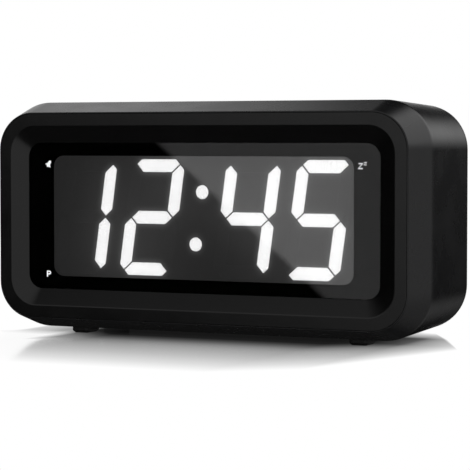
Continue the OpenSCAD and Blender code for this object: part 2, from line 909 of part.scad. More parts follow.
// Two leads from the bay's front wall to the display board, each a straight insulated wire.
module battery_leads() {
    color("#a02020")
        place()
            for (s = side_inset)
                rod(lead_r, chip_y, bay_y0 - bay_wall, lead_x * s, cell_z(0));
}

// ===== controls ==========================================================================
module key_board() {
    color("#1f5a34")
        place()
            difference() {
                plate(panel_w, panel_h, 1.5, key_board_y, key_board_y + board_t, panel_x, panel_z);
                for (x = key_boss_x, z = key_boss_z)
                    rod(1.1, key_board_y - eps, key_board_y + board_t + eps, x, z);
            }
}

module tact_switches() {
    color("#26282b")
        place()
            for (x = key_x)
                difference() {
                    block(tact_w, tact_w, key_board_y + board_t, tact_y, x, key_z);
                    rod(plunger_r + 0.1, tact_y - 1.5, tact_y + eps, x, key_z);
                }
}

module slide_switches() {
    color("#b9bcc0")
        place()
            for (x = slide_x)
                difference() {
                    block(slide_w, slide_h, key_board_y + board_t, tact_y, x, slide_z);
                    block(slide_knob_w + switch_travel + 0.4, 2, tact_y - 1.6, tact_y + eps, x, slide_z);
                }
}

// Obround key cap with a flange behind the wall and a dished face.
module button(x) {
    color("#242425")
        place()
            difference() {
                union() {
                    plate(button_w, button_h, button_h / 2 - 0.1, cap_back_y, case_d, x, key_z);
                    plate(button_w + 2 * cap_flange_lap, button_h + 2 * cap_flange_lap,
                        button_h / 2 + cap_flange_lap - 0.1, cap_back_y, cap_back_y + cap_flange_t, x, key_z);
                }
                translate([x, case_d + 19.6, key_z])
                    rotate([0, 90, 0])
                        cylinder(r = 20, h = button_w - 2, center = true, $fn = 128);
            }
}

module hour_button() { button(key_x[0]); }
module minute_button() { button(key_x[1]); }
module time_button() { button(key_x[2]); }
module alarm_button() { button(key_x[3]); }

module plunger(x) {
    color("#1a1a1a")
        place()
            rod(plunger_r, tact_y - 0.9, cap_back_y, x, key_z);
}

module hour_plunger() { plunger(key_x[0]); }
module minute_plunger() { plunger(key_x[1]); }
module time_plunger() { plunger(key_x[2]); }
module alarm_plunger() { plunger(key_x[3]); }

// Slide knob: a stem in the switch, a flange behind the wall and a ribbed grip in the slot.
module knob(x) {
    at = x - switch_travel / 2;
    color("#242425")
        place()
            difference() {
                union() {
                    block(slide_knob_w - 0.4, 1.6, tact_y - 1.4, cap_back_y + 0.2, at, slide_z);
                    block(slide_knob_w + 1.2, slide_knob_h + 1.4, cap_back_y, cap_back_y + cap_flange_t, at, slide_z);
                    block(slide_knob_w, slide_knob_h, cap_back_y, case_d, at, slide_z);
                }
                for (i = side_inset)
                    block(0.4, slide_knob_h + 1, case_d - 0.4, case_d + eps, at + 0.7 * i, slide_z);
            }
}

module alarm_switch_knob() { knob(slide_x[0]); }
module brightness_switch_knob() { knob(slide_x[1]); }

module buzzer() {
    color("#1c1c1e")
        place()
            difference() {
                rod(buzzer_r, cover_y - buzzer_t, cover_y, buzzer_x, buzzer_z);
                rod(1.2, cover_y - 1, cover_y + eps, buzzer_x, buzzer_z);
            }
}

// ===== snooze bar ========================================================================
module snooze_bar() {
    crown = 60;
    skirt_l = snooze_top - snooze_flange_z;
    color("#232324")
        place()
            difference() {
                union() {
                    intersection() {
                        translate([0, snooze_y, snooze_flange_z])
                            linear_extrude(skirt_l)
                                rounded(snooze_w, snooze_d, 3 - control_gap);
                        translate([0, snooze_y, snooze_top - crown])
                            rotate([0, 90, 0])
                                cylinder(r = crown, h = snooze_w + 1, center = true, $fn = 180);
                    }
                    translate([0, snooze_y, snooze_flange_z])
                        linear_extrude(snooze_flange_t)
                            rounded(snooze_w + 2 * snooze_lap, snooze_d + 2 * snooze_lap, 3);
                }
                // hollow underside on both sides of the middle web
                for (s = side_inset)
                    translate([s * (snooze_w / 4 + 2), snooze_y, snooze_flange_z - eps])
                        linear_extrude(skirt_l - 1.6)
                            rounded(snooze_w / 2 - 8, snooze_d - 3.2, 1.5);
            }
}

module snooze_board() {
    color("#1f5a34")
        place()
            difference() {
                translate([0, snooze_y, snooze_board_z])
                    linear_extrude(board_t)
                        rounded(2 * snooze_boss_x + 5, tact_w + 0.4, 1.5);
                for (s = side_inset)
                    translate([s * snooze_boss_x, snooze_y, snooze_board_z - eps])
                        cylinder(r = 1.1, h = board_t + 2 * eps);
            }
}

module snooze_switch() {
    color("#26282b")
        place()
            translate([0, snooze_y, snooze_board_z + board_t])
                difference() {
                    translate([-tact_w / 2, -tact_w / 2, 0])
                        cube([tact_w, tact_w, tact_h]);
                    translate([0, 0, tact_h - 1.5])
                        cylinder(r = plunger_r + 0.1, h = 2);
                }
}

module snooze_plunger() {
    color("#1a1a1a")
        place()
            translate([0, snooze_y, snooze_tact_z - 0.9])
                cylinder(r = plunger_r, h = snooze_flange_z - snooze_tact_z + 0.9);
}

// ===== screws ============================================================================
// Pan-head screw that points along +z from the underside of its head at z = 0.
module screw(r, length, head_r, head_t) {
    difference() {
        union() {
            translate([0, 0, -head_t])
                cylinder(r = head_r, h = head_t);
            cylinder(r = r, h = length);
        }
        translate([-head_r * 0.7, -0.2, -head_t - eps])
            cube([head_r * 1.4, 0.4, head_t / 2]);
        translate([-0.2, -head_r * 0.7, -head_t - eps])
            cube([0.4, head_r * 1.4, head_t / 2]);
    }
}

module case_screws() {
    color("#3a3a3c")
        place()
            for (sx = side_inset, sz = side_inset)
                translate([sx * post_x, post_y + screw_bridge, sz * post_z])
                    rotate([90, 0, 0])
                        screw(screw_r - 0.2, case_screw_l, case_head_r, 1.5);
}

module board_screws() {
    color("#9a9ca0")
        place() {
            for (sx = side_inset, sz = side_inset)
                translate([sx * board_boss_x, board_y + board_t, sz * board_boss_z])
                    rotate([90, 0, 0])
                        screw(board_screw_r, board_screw_l, board_head_r, 1.2);
            for (x = key_boss_x, z = key_boss_z)
                translate([x, key_board_y, z])
                    rotate([-90, 0, 0])
                        screw(board_screw_r, board_screw_l, board_head_r, 1.2);
        }
}

module snooze_screws() {
    color("#9a9ca0")
        place()
            for (s = side_inset)
                translate([s * snooze_boss_x, snooze_y, snooze_board_z])
                    screw(board_screw_r, board_screw_l, board_head_r, 1.2);
}

// ===== feet ==============================================================================
module foot(x, y) {
    top = foot_top(y);
    soft = 0.5;
    color("#161616")
        place()
            translate([x, y + foot_d / 2, -case_h / 2 - foot_h]) {
                translate([0, 0, soft])
                    linear_extrude(foot_h + top - soft)
                        rounded(foot_w, foot_d, 1.2 - flat_gap);
                linear_extrude(soft)
                    rounded(foot_w - 2 * soft, foot_d - 2 * soft, 0.8);
            }
}

module foot_front_left() { foot(-foot_x, foot_y); }
module foot_front_right() { foot(foot_x, foot_y); }
module foot_rear_left() { foot(-foot_x, foot_rear_y); }
module foot_rear_right() { foot(foot_x, foot_rear_y); }

// ===== assembly ==========================================================================
front_bezel();
cabinet();
rear_cover();
battery_door();
snooze_bar();
display_lens();
border_mask();
display_filter();
segment_reflector();
lit_segments();
unlit_segments();
led_chips();
display_board();
controller_chip();
quartz_crystal();
capacitors();
ribbon_cable();
key_board();
tact_switches();
slide_switches();
hour_button();
minute_button();
time_button();
alarm_button();
hour_plunger();
minute_plunger();
time_plunger();
alarm_plunger();
alarm_switch_knob();
brightness_switch_knob();
snooze_board();
snooze_switch();
snooze_plunger();
snooze_screws();
buzzer();
battery_cell_1();
battery_cell_2();
battery_cell_3();
battery_cell_4();
contact_springs();
contact_plates();
battery_leads();
case_screws();
board_screws();
foot_front_left();
foot_front_right();
foot_rear_left();
foot_rear_right();
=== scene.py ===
"""Looks of a tabletop alarm clock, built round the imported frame."""

import math

import bmesh
import bpy
import numpy as np
from mathutils import Matrix, Vector


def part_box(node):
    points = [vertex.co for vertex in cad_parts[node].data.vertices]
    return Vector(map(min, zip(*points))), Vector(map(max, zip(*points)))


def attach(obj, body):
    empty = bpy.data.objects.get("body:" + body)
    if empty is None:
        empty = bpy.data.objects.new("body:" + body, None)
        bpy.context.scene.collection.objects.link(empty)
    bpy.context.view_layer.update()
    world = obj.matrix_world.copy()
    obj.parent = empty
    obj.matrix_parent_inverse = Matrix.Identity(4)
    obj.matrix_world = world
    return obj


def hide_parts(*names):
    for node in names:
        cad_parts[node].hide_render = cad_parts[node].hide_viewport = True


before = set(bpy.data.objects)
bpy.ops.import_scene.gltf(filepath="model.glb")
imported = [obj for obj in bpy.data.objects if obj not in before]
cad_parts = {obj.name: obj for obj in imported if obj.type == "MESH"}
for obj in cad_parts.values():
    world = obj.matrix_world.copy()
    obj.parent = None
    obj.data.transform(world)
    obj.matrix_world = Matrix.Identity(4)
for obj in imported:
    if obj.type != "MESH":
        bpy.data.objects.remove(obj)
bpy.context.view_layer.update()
MM = 0.001

# ===== camera ============================================================================
# A long lens a little above the table, turned 26 degrees to the right of the clock's front. It
# stands 0.64 m away and looks at the middle of the front.
eye = Vector((292.32, -598.89, 63.71)) * MM
aim = Vector((14.16, -24.0, 34.26)) * MM
lens_data = bpy.data.cameras.new("camera")
lens_data.lens = 157.76
lens_data.sensor_width = 36.0
lens_data.clip_start = 0.01
camera = bpy.data.objects.new("camera", lens_data)
bpy.context.collection.objects.link(camera)
camera.matrix_world = Matrix.Translation(eye) @ (aim - eye).to_track_quat("-Z", "Y").to_matrix().to_4x4()
bpy.context.scene.camera = camera
bpy.context.scene.view_settings.view_transform = "Standard"


# ===== studio ============================================================================
# A white cove. The background is plain white, a soft box glows high behind the left of the clock,
# and the room in front is dim but for one pale screen that the display glass mirrors.
def node(tree, kind, sockets=(), **settings):
    """Adds one node. Settings are its properties. Sockets are its inputs, by name or in order, and
    each takes a plain value, another node's output, or a node, which stands for its first output."""
    made = tree.nodes.new(kind)
    for name, value in settings.items():
        setattr(made, name, value)
    for name, value in (sockets if isinstance(sockets, dict) else dict(enumerate(sockets))).items():
        if isinstance(value, bpy.types.Node):
            value = value.outputs[0]
        if isinstance(value, bpy.types.NodeSocket):
            tree.links.new(value, made.inputs[name])
        else:
            made.inputs[name].default_value = value
    return made


def linear(code):
    """sRGB hex to linear: c / 12.92 up to 0.04045, ((c + 0.055) / 1.055) ** 2.4 above it."""
    c = np.array([int(code[i:i + 2], 16) / 255 for i in (1, 3, 5)])
    c = np.where(c <= 0.04045, c / 12.92, ((c + 0.055) / 1.055) ** 2.4)
    return (*c.tolist(), 1.0)


world = bpy.data.worlds.new("white_cove")
bpy.context.scene.world = world
world.use_nodes = True
sky = world.node_tree
sky.nodes.clear()
heading = node(sky, "ShaderNodeTexCoord").outputs["Generated"]
RIGHT, BACK, UP = (1, 0, 0), (0, 1, 0), (0, 0, 1)
AMBIENT = 0.55       # level of the soft light from all round
# What gloss mirrors is a room of light panels. Each has a level and bounds, and a bound is a
# direction with the two cosines of the angle to it between which the panel comes up from nothing.
PANELS = {
    "screen in front": (0.63, [((0.601, -0.320, 0.732), -0.002, 0.002), (BACK, -0.6, -0.8)]),
    "box behind left": (0.80, [((-0.896, -0.378, -0.232), -0.10, 0.05), (UP, 0.12, 0.30), (BACK, 0.2, 0.4)]),
    "box behind right": (1.0, [(RIGHT, -0.04, 0.26), (UP, -0.02, 0.25), (BACK, 0.0, 0.3)]),
    "wall at the right": (0.07, [(RIGHT, 0.25, 0.45), (BACK, 0.0, 0.3)]),
    "glow at the right": (0.40, [(RIGHT, 0.60, 0.85), (BACK, 0.0, 0.3)]),
    "glow before the right": (0.30, [(RIGHT, 0.75, 0.92), (BACK, -0.6, -0.3), (BACK, 0.2, 0.0)]),
    "glow at the left": (0.30, [(RIGHT, -0.75, -0.92), (BACK, 0.15, 0.35)]),
    "horizon behind left": (1.0, [(RIGHT, -0.15, -0.30), (UP, 0.28, 0.12), (UP, -0.06, 0.06),
                                  (BACK, 0.5, 0.7)]),
    "overhead": (0.4, [(UP, 0.84, 0.98)]),
    "table": (0.03, [(UP, -0.25, -0.60)]),
    "table at the right": (0.19, [(RIGHT, -0.12, 0.25), (UP, -0.12, -0.30), (UP, -0.85, -0.55),
                                  (BACK, 0.0, 0.3)]),
}
gleam = 0.0
for panel, bounds in PANELS.values():
    for direction, start, full in bounds:
        cosine = node(sky, "ShaderNodeVectorMath", (heading, direction), operation="DOT_PRODUCT")
        rise = node(sky, "ShaderNodeMapRange", (cosine.outputs["Value"], start, full),
                    interpolation_type="SMOOTHSTEP")
        panel = node(sky, "ShaderNodeMath", (panel, rise), operation="MULTIPLY")
    gleam = node(sky, "ShaderNodeMath", (gleam, panel), operation="MAXIMUM")
ray = node(sky, "ShaderNodeLightPath").outputs
mirrored = node(sky, "ShaderNodeMath", (ray["Is Glossy Ray"], ray["Is Transmission Ray"]),
                operation="MAXIMUM")
room = node(sky, "ShaderNodeMix", {0: mirrored, 2: AMBIENT, 3: gleam})
seen = node(sky, "ShaderNodeMix", {0: ray["Is Camera Ray"], 2: room, 3: 1.0})
glow = node(sky, "ShaderNodeBackground", {"Color": (1, 1, 1, 1), "Strength": seen})
node(sky, "ShaderNodeOutputWorld", {"Surface": glow})

# Two broad lamps shape the matt surfaces: place and width in metres, power in watts.
LAMPS = {"key": ((-0.75, 0.80, 1.00), 0.9, 9.0), "fill": ((0.70, -0.90, 0.90), 1.0, 4.0)}
for name, (place, width, watts) in LAMPS.items():
    lamp_data = bpy.data.lights.new(name, "AREA")
    lamp_data.size = width
    lamp_data.energy = watts
    lamp = bpy.data.objects.new(name, lamp_data)
    bpy.context.collection.objects.link(lamp)
    aimed = (-Vector(place)).to_track_quat("-Z", "Y")
    lamp.matrix_world = Matrix.Translation(place) @ aimed.to_matrix().to_4x4()
    lamp.visible_glossy = False


def skin(name, rings, closed=False):
    """Mesh over rings of points, shape (rings, points, 3): a quad joins each point to its neighbours
    on its own ring and the next. A closed skin joins its last ring to its first, and an open one is
    capped at both ends. The volume under the faces tells which way they point."""
    rings = np.asarray(rings, float)
    m, n = rings.shape[:2]
    i, j = np.meshgrid(np.arange(m if closed else m - 1), np.arange(n), indexing="ij")
    far, side = (i + 1) % m, (j + 1) % n
    quads = np.stack([i * n + j, i * n + side, far * n + side, far * n + j], -1).reshape(-1, 4)
    points = rings.reshape(-1, 3)
    a, b, c, d = (points[quads[:, k]] - points.mean(0) for k in range(4))
    volume = (np.cross(a, b) * c).sum() + (np.cross(a, c) * d).sum()
    faces = quads.tolist()
    if not closed:
        first, last = points[:n] - points.mean(0), points[-n:] - points.mean(0)
        volume -= (np.cross(first, np.roll(first, -1, 0)) * first.mean(0)).sum()
        volume += (np.cross(last, np.roll(last, -1, 0)) * last.mean(0)).sum()
        faces += [list(range(n - 1, -1, -1)), list(range((m - 1) * n, m * n))]
    if volume < 0:
        faces = [f[::-1] for f in faces]
    mesh = bpy.data.meshes.new(name)
    mesh.from_pydata(points.tolist(), [], faces)
    mesh.update()
    mesh.shade_smooth()
    mesh.set_sharp_from_angle(angle=math.radians(50))
    piece = bpy.data.objects.new(name, mesh)
    bpy.context.collection.objects.link(piece)
    return piece


# The floor is white laminate. At a low angle it mirrors the clock, less so further off, where it is lifted to
# the white of the background. Its shade round the clock is painted: the lift and the gloss go by place on the
# floor. Gloss sees it only close behind the clock.
FLOOR_REACH, FLOOR_T = 3.0, 0.01             # radius and thickness in metres
turn = np.linspace(0, 2 * np.pi, 64, endpoint=False)
disc = FLOOR_REACH * np.stack([np.cos(turn), np.sin(turn), 0 * turn], -1)
floor = skin("floor", np.stack([disc - (0, 0, FLOOR_T), disc]))
laminate = bpy.data.materials.new("white_laminate")
laminate.use_nodes = True
tree = laminate.node_tree
tree.nodes.clear()
spot = node(tree, "ShaderNodeSeparateXYZ", (node(tree, "ShaderNodeTexCoord").outputs["Object"],)).outputs
x, y = spot["X"], spot["Y"]
across = node(tree, "ShaderNodeMath", (x,), operation="ABSOLUTE")
STRIP = 0.012                                # half depth of the darkest strip, under the back half
along = node(tree, "ShaderNodeMath", (y, STRIP), operation="SUBTRACT")
along = node(tree, "ShaderNodeMath", (along,), operation="ABSOLUTE")
along = node(tree, "ShaderNodeMath", (along, STRIP), operation="SUBTRACT", use_clamp=True)
# Past the right end the painted shade stops along a slant over the floor, where the mirrored wall would end.
SLANT = 0.52                                 # how far the slant nears the clock for each unit to the back
slant = node(tree, "ShaderNodeMath", (y, SLANT, x), operation="MULTIPLY_ADD")
# The painted shade under the clock dies away slowly to the front and quickly past its ends. It goes by the
# distance from the strip plus these: the most in metres, and the ramps that it is the product of.
FURTHER = [(0.018, [(across, 0.038, 0.060)]), (0.220, [(across, 0.060, 0.130)]),
           (0.045, [(x, -0.071, -0.075), (y, -0.014, -0.004)]),
           (0.080, [(across, 0.030, 0.054), (y, 0.020, 0.044)]), (0.100, [(slant, 0.0773, 0.0798)])]
away = along
for extra, ramps in FURTHER:
    for value, start, full in ramps:
        rise = node(tree, "ShaderNodeMapRange", (value, start, full))
        extra = node(tree, "ShaderNodeMath", (extra, rise), operation="MULTIPLY")
    away = node(tree, "ShaderNodeMath", (away, extra), operation="ADD")
FADE_REACH = 0.1                             # distance in metres over which the shade fades
LIFT = [(0.09, 0.01), (0.15, 0.05), (0.21, 0.12), (0.27, 0.215), (0.38, 0.34), (0.59, 0.52), (0.79, 0.74)]
fade = node(tree, "ShaderNodeValToRGB", (node(tree, "ShaderNodeMapRange", (away, 0.0, FADE_REACH)),))
fade.color_ramp.elements[0].color = (0.003, 0.003, 0.003, 1)
fade.color_ramp.elements[1].position = 0.96
for share, level in LIFT:                    # share of that distance, level of white
    fade.color_ramp.elements.new(share).color = (level, level, level, 1)
ray = node(tree, "ShaderNodeLightPath").outputs
lift = node(tree, "ShaderNodeMath", (fade, ray["Is Camera Ray"]), operation="MULTIPLY")
# The floor's gloss is painted nearly black under and behind the clock, where the low gap lets no light
# through, and painted brighter round the left end, where light falls in; in front of the clock it mirrors
# fully.
painted_light_past_left = node(tree, "ShaderNodeMath", (node(tree, "ShaderNodeMapRange", (x, -0.050, -0.056)),
                                        node(tree, "ShaderNodeMapRange", (y, -0.006, -0.020, 0.28, 0.95))),
               operation="MULTIPLY")
in_front = node(tree, "ShaderNodeMapRange", (y, -0.026, -0.036, 0.006, 0.95))
painted_gloss_tint = node(tree, "ShaderNodeMath", (painted_light_past_left, in_front), operation="MAXIMUM")
matt = node(tree, "ShaderNodeBsdfDiffuse", {"Color": (0.82, 0.82, 0.82, 1)})
gloss = node(tree, "ShaderNodeBsdfGlossy", {"Color": painted_gloss_tint, "Roughness": 0.1})
facing = node(tree, "ShaderNodeLayerWeight", {"Blend": 0.5}).outputs["Facing"]
low_angle = node(tree, "ShaderNodeMapRange", (facing, 0.76, 0.87, 0.0, 0.98),
                 interpolation_type="SMOOTHSTEP")
surface = node(tree, "ShaderNodeMixShader", (low_angle, matt, gloss))
white = node(tree, "ShaderNodeEmission", {"Color": (1, 1, 1, 1), "Strength": 1.0})
surface = node(tree, "ShaderNodeMixShader", (lift, surface, white))
kept = 1.0
for value, start, full in [(y, 0.0, 0.05), (across, 0.066, 0.045), (along, 0.41, 0.29)]:
    rise = node(tree, "ShaderNodeMapRange", (value, start, full))
    kept = node(tree, "ShaderNodeMath", (kept, rise), operation="MULTIPLY")
gone = node(tree, "ShaderNodeMath", (ray["Is Glossy Ray"], kept), operation="SUBTRACT", use_clamp=True)
surface = node(tree, "ShaderNodeMixShader", (gone, surface, node(tree, "ShaderNodeBsdfTransparent")))
node(tree, "ShaderNodeOutputMaterial", {"Surface": surface})
floor.data.materials.append(laminate)


# ===== cabinet ===========================================================================
# The body: one moulding in black ABS with a fine satin texture from its tool. A chamfer widens to
# a ridge all round, and from there the walls draw in a little to the back.
def extent(node_name):
    """Lowest and highest corner of a CAD piece in millimetres."""
    return [np.array(corner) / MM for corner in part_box(node_name)]


low, high = extent("cabinet")
case_w, case_h = high[0] - low[0], high[2] - low[2]
mid_z = (high[2] + low[2]) / 2
front = low[1]                               # plane of the front, in millimetres
case_d = extent("rear_cover")[1][1] - front
CHAMFER = 3.5
RIDGE_Y = 11.7
RIDGE_R = 15.6
REAR_TAPER = 1.3
WALL = 2.0
COVER_Y = high[1] - front                    # where the rear cover meets the cabinet
SEAT = CHAMFER + 0.4                         # inset of the front opening
STEP = (1.8, 5.0, 6.5)                       # seat of the bezel: width, front face, back face


def inset(y):
    """Offset of the outer wall from the ridge: straight lines down to both ends of the depth."""
    return -CHAMFER * (1 - y / RIDGE_Y) if y < RIDGE_Y else -REAR_TAPER * (y - RIDGE_Y) / (case_d - RIDGE_Y)


def softened(corners, reach, steps=5, closed=True):
    """Rounds the corners of a profile. Each corner P gives way to a parabola that leaves its edges
    at the distance reach: (1 - s)^2 A + 2 s (1 - s) P + s^2 B for s from 0 to 1."""
    p = np.asarray(corners, float)
    reach = np.broadcast_to(reach, len(p))[:, None]
    back, on = np.roll(p, 1, 0) - p, np.roll(p, -1, 0) - p
    a = p + back * np.minimum(reach / np.linalg.norm(back[:, :2], axis=1, keepdims=True), 0.45)
    b = p + on * np.minimum(reach / np.linalg.norm(on[:, :2], axis=1, keepdims=True), 0.45)
    s = np.linspace(0, 1, steps + 1)[:, None]
    arcs = (1 - s) ** 2 * a[:, None] + 2 * s * (1 - s) * p[:, None] + s ** 2 * b[:, None]
    if closed:
        return arcs.reshape(-1, p.shape[1])
    return np.concatenate([p[:1], arcs[1:-1].reshape(-1, p.shape[1]), p[-1:]])


def carried(profile, w, h, r=0.0, centre=(0.0, 0.0), up=False, steps=20):
    """Carries a profile round a w by h rectangle with corner radius r. A row of the profile is
    (offset, along) or (offset, along, radius), where the radius is r + offset if it isn't given.
    In a corner a point is corner centre + radius * (cos a, sin a), a from 0 to 90 degrees.
    The result lies in millimetres from the front's middle, or stands upright where up is set."""
    profile = np.asarray(profile, float)
    offset, along = profile[:, 0, None, None], profile[:, 1, None, None]
    radius = profile[:, 2, None, None] if profile.shape[1] > 2 else np.maximum(r + offset, 0.02)
    a = np.radians(90 * np.arange(4)[:, None] + np.linspace(0, 90, steps + 1))
    sx, sz = np.array([1, -1, -1, 1])[:, None], np.array([1, 1, -1, -1])[:, None]
    u = sx * (w / 2 + offset - radius) + radius * np.cos(a) + centre[0]
    v = sz * (h / 2 + offset - radius) + radius * np.sin(a) + centre[1]
    t = np.broadcast_to(along, u.shape)
    return np.stack([u, v, t] if up else [u, t, v], -1).reshape(len(profile), -1, 3)


def placed(rings):
    """Millimetres from the middle of the front to the frame's metres."""
    return (rings + (0.0, front, mid_z)) * MM


def finished(piece, body, slot, material, *replaced):
    """Gives a piece its material and says what it is part of."""
    piece.data.materials.append(material)
    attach(piece, body)
    if replaced:
        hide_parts(*replaced)


def cut(piece, *cutters):
    """Takes the cutters out of the piece with exact booleans and removes them."""
    for cutter in cutters:
        knife = piece.modifiers.new("cut", "BOOLEAN")
        knife.operation = "DIFFERENCE"
        knife.solver = "EXACT"
        knife.object = cutter
    shape = bpy.data.meshes.new_from_object(piece.evaluated_get(bpy.context.evaluated_depsgraph_get()))
    piece.modifiers.clear()
    piece.data = shape
    shape.set_sharp_from_angle(angle=math.radians(50))
    for cutter in cutters:
        bpy.data.objects.remove(cutter)


def even(piece):
    """Lets the wide faces lead the shading beside rounded edges."""
    weights = piece.modifiers.new("even", "WEIGHTED_NORMAL")
    weights.keep_sharp = True
    return piece


def blank(name, values=()):
    """A new material, its node tree, and its shader with plain values on some of the sockets."""
    made = bpy.data.materials.new(name)
    made.use_nodes = True
    shader = made.node_tree.nodes["Principled BSDF"]
    for socket, value in dict(values).items():
        shader.inputs[socket].default_value = value
    return made, made.node_tree, shader.inputs


PATCHES = 90.0                               # patches of a moulding to the metre, 11 mm each


def moulded(name, colour, rough, grain, height, ior=1.5, mottle=0.12):
    """Moulded plastic. grain is the size of the tool's spark texture in millimetres, height how far it
    stands up in millimetres. Colour and gloss drift by the share mottle from patch to patch."""
    made, tree, shader = blank(name, {"IOR": ior})
    where = node(tree, "ShaderNodeTexCoord").outputs["Object"]
    patches = node(tree, "ShaderNodeTexNoise", {"Vector": where, "Scale": PATCHES,
                                                "Detail": 3.0}).outputs["Fac"]
    base = np.array(linear(colour))[:3]
    shade = node(tree, "ShaderNodeValToRGB", (patches,))
    dark, pale = shade.color_ramp.elements
    dark.position, pale.position = 0.3, 0.7
    dark.color, pale.color = (*(base * (1 - mottle)), 1), (*(base * (1 + mottle)), 1)
    tree.links.new(shade.outputs["Color"], shader["Base Color"])
    spark = node(tree, "ShaderNodeTexNoise", {"Vector": where, "Scale": 1 / (grain * MM), "Detail": 2.0,
                                              "Roughness": 0.6}).outputs["Fac"]
    gloss = node(tree, "ShaderNodeMapRange",
                 (patches, 0.3, 0.7, rough * (1 - mottle), rough * (1 + mottle)))
    tree.links.new(gloss.outputs[0], shader["Roughness"])
    bump = node(tree, "ShaderNodeBump", {"Strength": 1.0, "Distance": height * MM, "Height": spark})
    tree.links.new(bump.outputs["Normal"], shader["Normal"])
    return made


# ABS with a satin spark texture, which spreads the light into broad soft gleams. The texture is
# 0.15 mm fine on the real part and drawn at 0.4 mm so that it shows.
satin_black = moulded("abs_satin_black", "#131314", 0.27, 0.4, 0.006)
wall_profile = [
    (-CHAMFER, 0), (0, RIDGE_Y), (inset(COVER_Y), COVER_Y), (inset(COVER_Y) - WALL, COVER_Y),
    (-WALL, RIDGE_Y), (-SEAT, STEP[2]), (-SEAT - STEP[0], STEP[2]), (-SEAT - STEP[0], STEP[1]),
    (-SEAT, STEP[1]), (-SEAT, 0)]
reaches = [0.3, 0.9, 0.15, 0.1, 0.5, 0.1, 0.1, 0.1, 0.1, 0.1]      # rounding at each corner
wall = carried(softened(wall_profile, reaches), case_w, case_h, RIDGE_R)
cabinet = skin("cabinet_moulding", placed(wall), closed=True)


def turned(name, profile, at, axis, steps=32, closed=False):
    """Spins a profile of (radius, along) round an axis through a point: the two other coordinates
    are radius * cos a and radius * sin a."""
    profile = np.asarray(profile, float)
    a = np.linspace(0, 2 * np.pi, steps, endpoint=False)
    rings = np.empty((len(profile), steps, 3))
    rings[..., axis] = profile[:, 1:2]
    rings[..., (axis + 1) % 3] = profile[:, :1] * np.cos(a)
    rings[..., (axis + 2) % 3] = profile[:, :1] * np.sin(a)
    return skin(name, placed(rings + np.asarray(at, float)), closed)


def together(first, *others):
    """Puts the meshes of the others into the first piece."""
    shape = bmesh.new()
    for piece in (first, *others):
        shape.from_mesh(piece.data)
    shape.to_mesh(first.data)
    shape.free()
    for piece in others:
        bpy.data.objects.remove(piece)
    return first


# The roof is open for the snooze bar, four pockets below take the feet, and two posts hang from the
# roof for the snooze bar's board.
BAR_LAP = 1.2                                # flange of the bar under the roof
BAR_GAP = 0.25
BAR_R = 3.0                                  # corners of the roof's opening
CUT_FROM = 20.0                              # the cut for it starts this high over the middle
POCKET_GAP = 0.1                             # play of a foot in its pocket, both sides together
POCKET_R = 1.2
POST = (2.0, 0.8, 5.0)                       # outer and inner radius, distance from the bar's end
low, high = extent("snooze_bar")
bar_w, bar_d = high[0] - low[0] - 2 * BAR_LAP, high[1] - low[1] - 2 * BAR_LAP
bar_y = (low[1] + high[1]) / 2 - front
opening = carried([(0, CUT_FROM), (0, case_h)], bar_w + 2 * BAR_GAP, bar_d + 2 * BAR_GAP, BAR_R,
                  (0, bar_y), up=True)
tools = [skin("bar_opening", placed(opening))]
FEET = ("foot_front_left", "foot_front_right", "foot_rear_left", "foot_rear_right")
for name in FEET:
    low, high = extent(name)
    pocket = carried([(0, -case_h), (0, high[2] - mid_z)], high[0] - low[0] + POCKET_GAP,
                     high[1] - low[1] + POCKET_GAP, POCKET_R,
                     ((low[0] + high[0]) / 2, (low[1] + high[1]) / 2 - front), up=True)
    tools.append(skin(name + "_pocket", placed(pocket)))
cut(cabinet, *tools)
post_z = extent("snooze_board")[1][2] - mid_z
roof_z = case_h / 2 - WALL + 0.4             # a little into the roof
post = [(POST[0], post_z), (POST[0], roof_z), (POST[1], roof_z), (POST[1], post_z)]
posts = [turned("post", post, (side * (bar_w / 2 + POST[2]), bar_y, 0), 2, closed=True) for side in (-1, 1)]
even(together(cabinet, *posts))
finished(cabinet, "clock", "cabinet_plastic", satin_black, "cabinet")

# ===== front bezel =======================================================================
# A frame in smoother black ABS that drops into the cabinet's front opening. Its flat ring slopes
# down to the display glass, and a thin lip holds the glass in.
SEAM = 0.07                                  # gap between the two mouldings
RING = 4.4
SLOPE = (5.4, 2.2)                           # width and depth of the slope to the glass
SLOPE_R = (8.8, 4.7)
LIP = 0.2
GLASS_LAP = (1.9, 3.4)                       # inner and outer face of the wall round the glass
SHELL = 2.0                                  # thickness of the ring and the outer wall
BEZEL_D = 5.0
SCREW_BOARD, SCREW_CASE = (45.0, 28.8), (67.0, 15.0)       # places of the tubes: across, up
TUBE_Y = 1.9                                 # where the tubes stand on the ring
ring_in = -CHAMFER - RING
glass_edge = ring_in - SLOPE[0]
lens_y = SLOPE[1] + LIP
outer = -SEAT - SEAM
# ABS from a finely blasted tool: darker than the cabinet, with tighter gleams along its edges.
smooth_black = moulded("abs_fine_black", "#090909", 0.22, 0.35, 0.003, ior=1.45)
at_ring, at_glass = SLOPE_R[0] - ring_in, SLOPE_R[1] - glass_edge
# Offset, depth, and what the corner radius adds to the offset.
bezel_profile = [(offset, depth, offset + more) for offset, depth, more in [
    (outer, 0, RIDGE_R), (ring_in, 0, at_ring), (glass_edge, SLOPE[1], at_glass),
    (glass_edge, lens_y, at_glass), (glass_edge + GLASS_LAP[0], lens_y, at_glass),
    (glass_edge + GLASS_LAP[0], BEZEL_D, at_glass), (glass_edge + GLASS_LAP[1], BEZEL_D, at_glass),
    (glass_edge + GLASS_LAP[1], SHELL, at_glass),
    (outer - SHELL, SHELL, RIDGE_R), (outer - SHELL, BEZEL_D, RIDGE_R), (outer, BEZEL_D, RIDGE_R)]]
reaches = [0.15, 0.25, 0.12, 0.05, 0.1, 0.1, 0.1, 0.1, 0.1, 0.1, 0.1]
rings = carried(softened(bezel_profile, reaches), case_w, case_h)
bezel = skin("bezel_moulding", placed(rings), closed=True)
